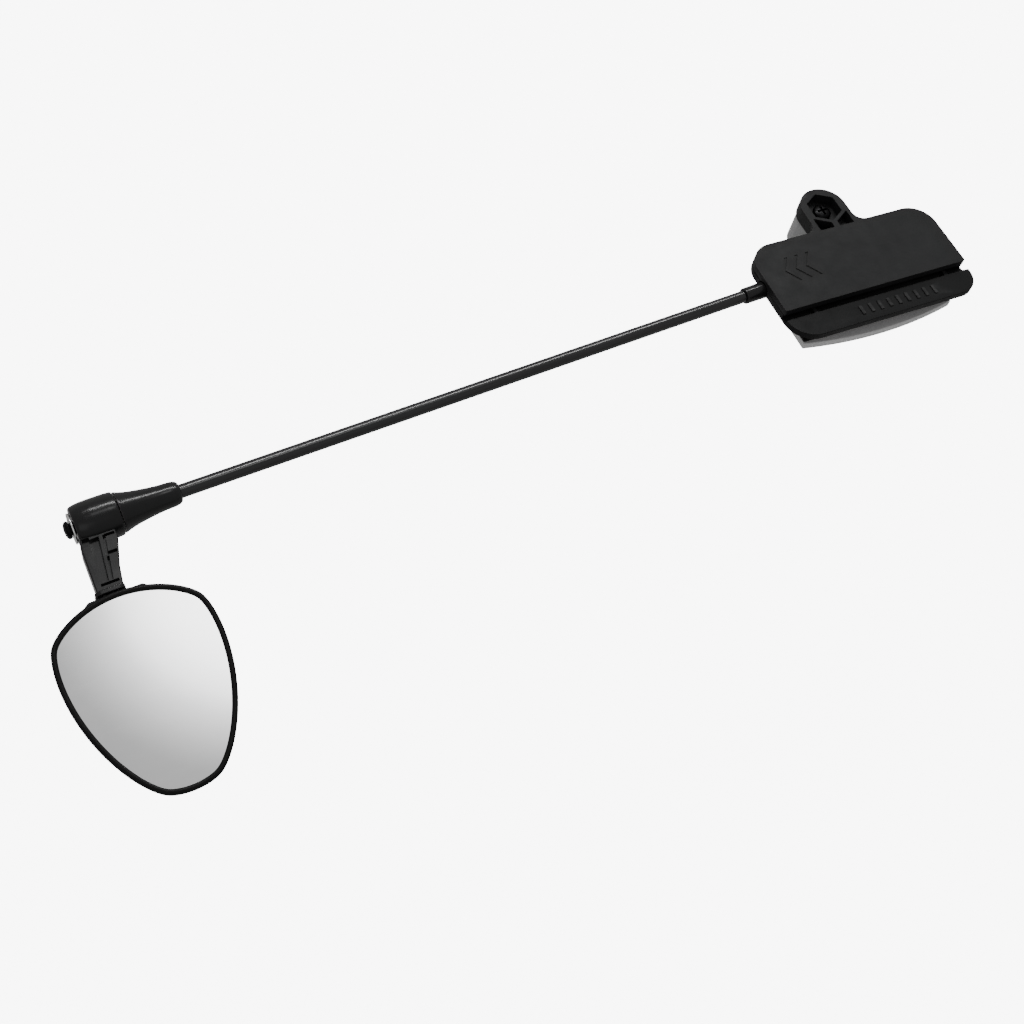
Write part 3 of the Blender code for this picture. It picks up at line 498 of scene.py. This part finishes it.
def jaw_outline():
    middle, half = (JAW_LEFT + JAW_RIGHT) / 2, (JAW_RIGHT - JAW_LEFT) / 2
    outline = []
    for i in range(49):
        t = 2 * i / 48 - 1
        outline.append((middle + half * t, JAW_MIDDLE + (JAW_ENDS - JAW_MIDDLE) * t ** 2))
    corner_y = JAW_TOP - JAW_CORNER
    outline += arc((JAW_RIGHT - JAW_CORNER, corner_y), JAW_CORNER, 0, 90, 12)
    outline += [(NECK_HALF, JAW_TOP), (NECK_HALF, HINGE_Y), (-NECK_HALF, HINGE_Y),
                (-NECK_HALF, JAW_TOP)]
    outline += arc((JAW_LEFT + JAW_CORNER, corner_y), JAW_CORNER, 90, 180, 12)
    return outline


def make_jaw():
    barrel = rounded_profile([(0.01, -3.2), (2.5, -3.2), (2.5, 3.2), (0.01, 3.2)], 0.3)
    steps = [("bevel", 0.35, 3, 50),
             ("join", lathe(barrel, 48), HINGE_AXIS),
             ("cut", block((-SPRING_SLOT_HALF, HINGE_Y - 5.6, -12), (SPRING_SLOT_HALF, HINGE_Y + 5, 0)),
              CLIP),
             ("cut", bore(PIN_HOLE_R, -5, 5), HINGE_AXIS)]
    for i in range(FINGER_GROOVES):
        y = -13.6 + FINGER_PITCH * i
        groove = block((-12 + i, y, -9), (12 - i, y + 1.2, JAW_BACK + FINGER_DEPTH))
        steps.append(("cut", groove, CLIP))
    return build("grey_jaw", slab(jaw_outline(), JAW_BACK, JAW_FRONT), CLIP, steps)


def make_pad():
    steps = [("bevel", 0.15, 2)]
    for i in range(PAD_GROOVES):
        y = PAD_LOW + 2.1 + PAD_PITCH * i
        groove = block((PAD_LEFT - 1, y, PAD_FRONT - PAD_DEPTH), (PAD_RIGHT + 1, y + PAD_GROOVE, 0))
        steps.append(("cut", groove, CLIP))
    pad = block((PAD_LEFT, PAD_LOW, -5.5), (PAD_RIGHT, PAD_TOP, PAD_FRONT))
    return build("ribbed_pad", pad, CLIP, steps)


def make_collar():
    profile = [(CORE_R, -24.4), (2.4, -24.4), (2.4, -30.5), (2.3, -38.4), (CORE_R, -38.4)]
    return build("collar_bush", lathe(rounded_profile(profile, 0.35), 64, closed=True), STEM_AXIS)


# ---------- stem ----------

SLEEVE_LENGTH, RING_SEAT = 15.2, 0.8
SLEEVE_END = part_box("stem_sleeve")[1].x / MM
SHEATH_LOW, SHEATH_HIGH = (corner.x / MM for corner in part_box("stem_sheath"))


def make_sheath():
    profile = [(CORE_R, SHEATH_LOW), (SHEATH_R, SHEATH_LOW), (SHEATH_R, SHEATH_HIGH),
               (CORE_R, SHEATH_HIGH)]
    return build("gloss_sheath", lathe(rounded_profile(profile, 0.15), 64, closed=True), STEM_AXIS)


def make_sleeve():
    outer = [(2.1, 0.0), (2.3, -0.06), (2.5, -0.2), (2.7, -0.42), (2.88, -0.75), (3.0, -1.2),
             (3.1, -1.8), (3.15, -2.5), (3.2, -4.0), (3.26, -4.9), (3.34, -5.7), (3.47, -6.9),
             (3.63, -8.1), (3.82, -9.4), (4.02, -10.7), (4.22, -11.8), (4.45, -12.8), (4.64, -13.5),
             (4.85, -14.2), (5.0, -14.62), (5.12, -14.9), (5.15, -15.05), (5.12, -15.2)]
    profile = [(radius, SLEEVE_END + x) for radius, x in outer]
    seam = SLEEVE_END - SLEEVE_LENGTH
    seat, socket = seam + RING_SEAT, SLEEVE_END - 10
    profile += [(4.3, seam), (4.3, seat), (SCREW_HOLE_R, seat), (SCREW_HOLE_R, socket),
                (2.05, socket), (2.05, SLEEVE_END)]
    steps = [("cut", bore(3.5, seam - 1, seam + 3.8, 6), STEM_AXIS)]
    return build("trumpet_sleeve", lathe(profile, 96, closed=True), STEM_AXIS, steps)


def pan_screw(name, head_r, head_h, shank_r, length, matrix):
    """Domed head above local Z = 0 with a cross recess, shank below."""
    profile = [(0.02, head_h)]
    for i in range(1, 9):
        angle = math.radians(90 * i / 8)
        profile.append((head_r * math.sin(angle) ** 0.8, head_h * (0.35 + 0.65 * math.cos(angle))))
    profile += [(head_r, 0.15), (head_r - 0.15, 0.0), (shank_r, 0.0), (shank_r, -length + 0.4),
                (shank_r - 0.4, -length), (0.02, -length)]
    steps = []
    for dx, dy in ((0.6, 0.13), (0.13, 0.6)):
        steps.append(("cut", block((-dx * head_r, -dy * head_r, head_h * 0.35),
                                   (dx * head_r, dy * head_r, head_h + 2)), matrix))
    steps.append(("bevel", 0.05, 2, 45))
    return build(name, lathe(profile, 48), matrix, steps)


# ---------- head ----------

BARREL_LOW, BARREL_HIGH, BARREL_R = -2.9, 7.8, 5.6
MIRROR_Y, GLASS_RADIUS = -43.1, 21.3
HARMONICS = {2: 2.68, 3: 1.645, 4: -0.54, 5: -0.38}
GLASS_FRONT, GLASS_BACK, FRAME_WIDTH = 4.4, 3.2, 1.4
LUG_TOP, LUG_LOW, LUG_HALF, PIVOT_Z = -19.1, -26.2, 8.1, -0.6
PIVOT = Matrix.Translation((0, 0, PIVOT_Z * MM)) @ ALONG_Y
BLADE_FRONT, BLADE_BACK, CHANNEL_FLOOR = 3.2, -2.6, 1.5
LUG_BACK, LUG_FRONT = -3.8, 2.6
FOOT_THICK = 1.2
OVAL_SEGMENTS = 192
DEEPEST_OFFSET, SHRINK_SPAN = -3.2, 18.0


def oval_points(offset, z):
    """The mirror's outline moved outwards by offset, from its support function.

    Deep inside, where an offset outline would fold over itself, it shrinks towards the middle.
    """
    shrink = 1 + min(offset - DEEPEST_OFFSET, 0) / SHRINK_SPAN
    offset = max(offset, DEEPEST_OFFSET)
    points = []
    for i in range(OVAL_SEGMENTS):
        angle = TAU * i / OVAL_SEGMENTS
        support = GLASS_RADIUS + offset
        slope = 0.0
        for k, size in HARMONICS.items():
            support += size * math.cos(k * angle)
            slope -= k * size * math.sin(k * angle)
        across = support * math.sin(angle) + slope * math.cos(angle)
        down = support * math.cos(angle) - slope * math.sin(angle)
        points.append((across * shrink, MIRROR_Y - down * shrink, z))
    return points


def oval(profile, closed=False):
    return skin([oval_points(offset, z) for offset, z in profile], closed=closed)


def blade_steps():
    """Channels between the blade's ribs and raised lands."""
    outlines = ([(-1.2, -5.0), (-2.2, -16.0), (-0.3, -16.0), (1.3, -5.0)],
                [(-2.7, -4.4), (-2.9, -6.6), (-1.1, -6.6), (-0.9, -4.4)],
                [(2.2, -5.0), (1.2, -10.0), (1.9, -10.0), (2.9, -5.0)],
                [(2.6, -4.9), (2.5, -5.6), (5.0, -5.6), (5.0, -4.9)],
                [(1.4, -9.2), (1.3, -10.0), (4.0, -10.0), (4.2, -9.2)],
                [(1.3, -10.3), (0.2, -16.0), (0.8, -16.0), (1.9, -10.3)],
                [(-2.4, -16.2), (-2.4, -16.9), (2.0, -16.9), (2.0, -16.2)])
    return [("cut", slab(outline, CHANNEL_FLOOR, 9), HEAD) for outline in outlines]


def make_arm():
    """A turned barrel, a ribbed blade and the foot that stands on the mirror's lug."""
    low, high = BARREL_LOW, BARREL_HIGH
    outer = [(SCREW_HOLE_R, high), (BARREL_R - 0.3, high), (BARREL_R - 0.12, high - 0.3),
             (BARREL_R, high - 2.0), (BARREL_R, low + 4.2), (BARREL_R - 0.08, low + 2.6),
             (BARREL_R - 0.22, low + 1.5), (BARREL_R - 0.42, low + 0.6), (BARREL_R - 0.75, low),
             (3.3, low), (3.3, low + 1.0), (SCREW_HOLE_R, low + 1.0)]
    side = [(-2.8, -3.9), (-3.2, -4.8), (-3.6, -7.5), (-4.0, -18.3), (2.4, -18.3), (3.3, -13.5),
            (5.5, -6.5), (5.5, -3.9)]
    edges = [("bevel", 0.35, 3)]
    blade = bmesh_of(build("arm_blade", slab(side, BLADE_BACK, BLADE_FRONT), HEAD, edges))
    foot = arc((1.3, -1.8), 1.5, 270, 360, 8) + arc((1.3, 1.9), 1.5, 0, 90, 8)
    foot += arc((-3.0, 1.9), 1.5, 90, 180, 8)
    foot += arc((-3.0, -1.8), 1.5, 180, 270, 8)
    foot_y = LUG_TOP + 0.3 + FOOT_THICK
    turned = Matrix.Translation((0, foot_y * MM, 0)) @ Matrix.Rotation(math.radians(90), 4, "X")
    foot_work = bmesh_of(build("arm_foot", slab(foot, 0.0, FOOT_THICK), HEAD @ turned,
                               [("bevel", 0.25, 3)]))
    steps = [("join", blade, IDENTITY), ("join", foot_work, IDENTITY)] + blade_steps()
    steps.append(("cut", bore(SCREW_HOLE_R, low - 1, high + 1), HEAD @ ALONG_X))
    steps.append(("cut", bore(SCREW_HOLE_R, -22, -12.6), HEAD @ PIVOT))
    barrel = lathe(rounded_profile(outer, 0.35), 96, closed=True)
    return build("swing_arm", barrel, HEAD @ ALONG_X, steps)


def make_shell():
    """A dished back, with the lug that holds the pivot on its upper edge."""
    outer = [(-14.0, -5.5), (-11.0, -5.4), (-9.0, -5.2), (-7.0, -4.95), (-5.0, -4.4), (-3.6, -3.8),
             (-2.4, -3.0), (-1.5, -2.2), (-0.8, -1.3), (-0.25, -0.35), (0.2, 0.7), (0.55, 1.6),
             (0.95, 2.45), (0.9, 2.6)]
    inner = [(0.2, 2.6), (-0.7, 1.0), (-1.9, -0.9), (-3.4, -2.2), (-5.8, -3.3), (-9.5, -3.9)]
    half = LUG_HALF
    lug = [(-half, LUG_LOW), (half, LUG_LOW), (half, LUG_TOP - 1.2), (half - 1.6, LUG_TOP),
           (-half + 1.6, LUG_TOP), (-half, LUG_TOP - 1.2)]
    hollows = [("bevel", 0.35, 3),
               ("cut", block((-3.0, -25.6, -3.1), (3.0, -22.7, 9)), HEAD),
               ("cut", block((-half - 1, LUG_LOW - 1, 1.0), (half + 1, -22.0, 9)), HEAD)]
    lug_work = bmesh_of(build("lug", slab(lug, LUG_BACK, LUG_FRONT), HEAD, hollows))
    dish = build("dish", oval(outer + inner), HEAD, [("join", lug_work, IDENTITY)])
    return build("mirror_back", bmesh_of(dish), IDENTITY,
                 [("cut", bore(2.35, -22.9, -15, 40), HEAD @ PIVOT)])


def make_frame():
    lip = GLASS_FRONT + 0.3
    foot = GLASS_BACK - 0.3
    profile = [(0.0, lip), (0.04, lip + 0.16), (0.16, lip + 0.32), (0.36, lip + 0.43),
               (0.62, lip + 0.48), (0.9, lip + 0.45), (1.15, lip + 0.34), (1.32, lip + 0.17),
               (FRAME_WIDTH, lip - 0.1), (FRAME_WIDTH, lip - 0.9), (FRAME_WIDTH - 0.1, foot + 0.3),
               (FRAME_WIDTH - 0.25, foot), (0.6, foot), (0.6, lip)]
    return build("glass_rim", oval(profile, closed=True), HEAD)


def make_glass():
    """A flat plate with ground edges."""
    profile = [(0.1, GLASS_BACK), (0.3, GLASS_BACK + 0.12), (0.3, GLASS_FRONT - 0.25),
               (0.12, GLASS_FRONT)]
    return build("silvered_glass", oval(profile), HEAD)


def make_pieces():
    hand_in(make_cover(), COVER_BLACK, "clip", ["clip_cover"])
    hand_in(make_base(), BASE_BLACK, "clip", ["clip_base"])
    hand_in(make_post(), SHADED_POST_GREY, "clip", ["clip_post"])
    hand_in(make_collar(), ARM_BLACK, "clip", ["stem_collar"])
    # The boss screw's black stands for the shade inside the hexagonal recess: painted shade.
    boss_screw = BOSS_AXIS @ Matrix.Translation((0, 0, 1.6 * MM))
    hand_in(pan_screw("boss_screw", 2.8, 1.6, 1.5, 7.8, boss_screw), BLACK_STEEL, "clip",
            ["post_screw"])
    hand_in(make_jaw(), LIT_JAW_GREY, "jaw", ["rear_jaw"])
    hand_in(make_pad(), PAD_RUBBER, "jaw", ["jaw_pad"])
    hand_in(make_sheath(), STEM_GLOSS, "stem", ["stem_sheath"])
    hand_in(make_sleeve(), ARM_BLACK, "stem", ["stem_sleeve"])
    washer_low, washer_high = (corner.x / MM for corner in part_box("hinge_washer"))
    washer = rounded_profile([(1.7, washer_high), (3.9, washer_high), (3.9, washer_low),
                              (1.7, washer_low)], 0.15)
    hand_in(build("pressed_washer", lathe(washer, 64, closed=True), STEM_AXIS), BRIGHT_STEEL, "stem",
            ["hinge_washer"])
    screw_place = STEM @ Matrix.Translation(((washer_low - 0.3) * MM, 0, 0)) @ FACING_OUT
    hand_in(pan_screw("barrel_screw", 2.2, 1.4, 1.5, 15.2, screw_place), BLACK_STEEL, "stem",
            ["hinge_screw"])
    hand_in(make_arm(), ARM_BLACK, "arm", ["head_arm"])
    hand_in(make_shell(), ARM_BLACK, "mirror", ["mirror_shell"])
    hand_in(make_frame(), FRAME_BLACK, "mirror", ["mirror_frame"])
    hand_in(make_glass(), SILVER, "mirror", ["mirror_glass"], sharp=20)


def dress_frame_nodes():
    """Procedural materials for the CAD nodes that stay."""
    looks = {"jaw_pin": STEEL, "jaw_spring": STEEL, "stem_core": STEEL, "stem_retainer": STEEL,
             "hinge_nut": STEEL, "wave_washer": STEEL, "friction_ring": NYLON, "pivot_stud": STEEL,
             "pivot_bush": NYLON, "pivot_clip": STEEL, "glass_foam": FOAM, "glass_carrier": ARM_BLACK}
    for node, material in looks.items():
        shape = frame["nodes"][node]
        shape.data.materials.clear()
        shape.data.materials.append(material)


# ---------- stage, light and camera ----------

FLOOR_DROP, FLOOR_HALF = 0.12, 40.0
FLOOR_GLOW, FLOOR_SEEN = 0.05, 8.0  # the floor's glow on the object, and to the camera
POOL_CENTRE = (0.187, 0.07, 0.0)  # direction of the brightest spot overhead
POOL_REACH, POOL_PEAK = 0.25, 5.5
POOL_LEVELS = ((0.04, 5.5), (0.07, 4.6), (0.095, 2.9), (0.11, 1.7), (0.13, 0.95), (0.15, 0.6),
               (0.25, 0.42))
CAMERA_PLACE = (-0.2607, -0.1791, 0.2989)
CAMERA_RIGHT, CAMERA_BACK = (0.8721, -0.4687, 0.1403), (-0.3559, -0.4110, 0.8393)


def make_stage():
    floor_mesh = bpy.data.meshes.new("floor")
    work = bmesh.new()
    bmesh.ops.create_grid(work, x_segments=1, y_segments=1, size=FLOOR_HALF)
    work.to_mesh(floor_mesh)
    work.free()
    floor = bpy.data.objects.new("floor", floor_mesh)
    floor.location.z = CAD_BOX[0][2] - FLOOR_DROP
    bpy.context.scene.collection.objects.link(floor)
    material, tree, shader = new_material("floor_white", specular=0.0)
    grain = noise(tree, 40, 2)
    link(tree, mix(tree, grain, (0.44, 0.44, 0.44), (0.47, 0.47, 0.47)), shader.inputs["Base Color"])
    shader.inputs["Roughness"].default_value = 1.0
    seen = tree.nodes.new("ShaderNodeLightPath")
    level = spread(tree, seen.outputs["Is Camera Ray"], FLOOR_GLOW, FLOOR_SEEN, 0, 1)
    shader.inputs["Emission Color"].default_value = (1, 1, 1, 1)
    link(tree, level, shader.inputs["Emission Strength"])
    floor.data.materials.append(material)


def soft_light(name, place, aim, size, power):
    light = bpy.data.lights.new(name, "AREA")
    light.shape = "RECTANGLE"
    light.size, light.size_y = size
    light.energy = power
    lamp = bpy.data.objects.new(name, light)
    bpy.context.scene.collection.objects.link(lamp)
    lamp.location = place
    lamp.rotation_euler = (Vector(aim) - Vector(place)).to_track_quat("-Z", "Y").to_euler()


def make_light():
    """A grey studio with a soft pool of light overhead, a strip along the stem and a front lamp."""
    world = bpy.data.worlds.new("studio")
    bpy.context.scene.world = world
    world.use_nodes = True
    tree = world.node_tree
    background = tree.nodes["Background"]
    where = tree.nodes.new("ShaderNodeTexCoord")
    split = tree.nodes.new("ShaderNodeSeparateXYZ")
    link(tree, where.outputs["Generated"], split.inputs[0])
    flat = tree.nodes.new("ShaderNodeCombineXYZ")
    link(tree, split.outputs["X"], flat.inputs["X"])
    link(tree, split.outputs["Y"], flat.inputs["Y"])
    away = tree.nodes.new("ShaderNodeVectorMath")
    away.operation = "DISTANCE"
    link(tree, flat.outputs[0], away.inputs[0])
    away.inputs[1].default_value = POOL_CENTRE
    pool = tree.nodes.new("ShaderNodeValToRGB")
    link(tree, spread(tree, away.outputs["Value"], 0, 1, 0.0, POOL_REACH), pool.inputs["Fac"])
    pool.color_ramp.interpolation = "B_SPLINE"
    stops = pool.color_ramp.elements
    while len(stops) < len(POOL_LEVELS):
        stops.new(0.5)
    for stop, (distance, level) in zip(stops, POOL_LEVELS):
        stop.position = distance / POOL_REACH
        stop.color = (level / POOL_PEAK,) * 3 + (1,)
    link(tree, pool.outputs["Color"], background.inputs["Color"])
    background.inputs["Strength"].default_value = POOL_PEAK
    soft_light("strip", (0.12, 0.37, 0.60), (0.12, 0, 0), (0.6, 0.05), 3.2)
    soft_light("front", (-0.5, -0.6, 0.7), (-0.1, 0, 0), (0.5, 0.5), 0.4)


def make_camera():
    camera = bpy.data.objects.new("camera", bpy.data.cameras.new("camera"))
    bpy.context.scene.collection.objects.link(camera)
    camera.data.lens = 50
    camera.data.sensor_width = 36
    right = Vector(CAMERA_RIGHT).normalized()
    back = Vector(CAMERA_BACK).normalized()
    up = back.cross(right).normalized()
    right = up.cross(back)
    place = Matrix((right, up, back)).transposed().to_4x4()
    place.translation = CAMERA_PLACE
    camera.matrix_world = place
    camera.data.clip_start = 0.01
    bpy.context.scene.camera = camera


make_camera()
make_pieces()
dress_frame_nodes()
make_stage()
make_light()
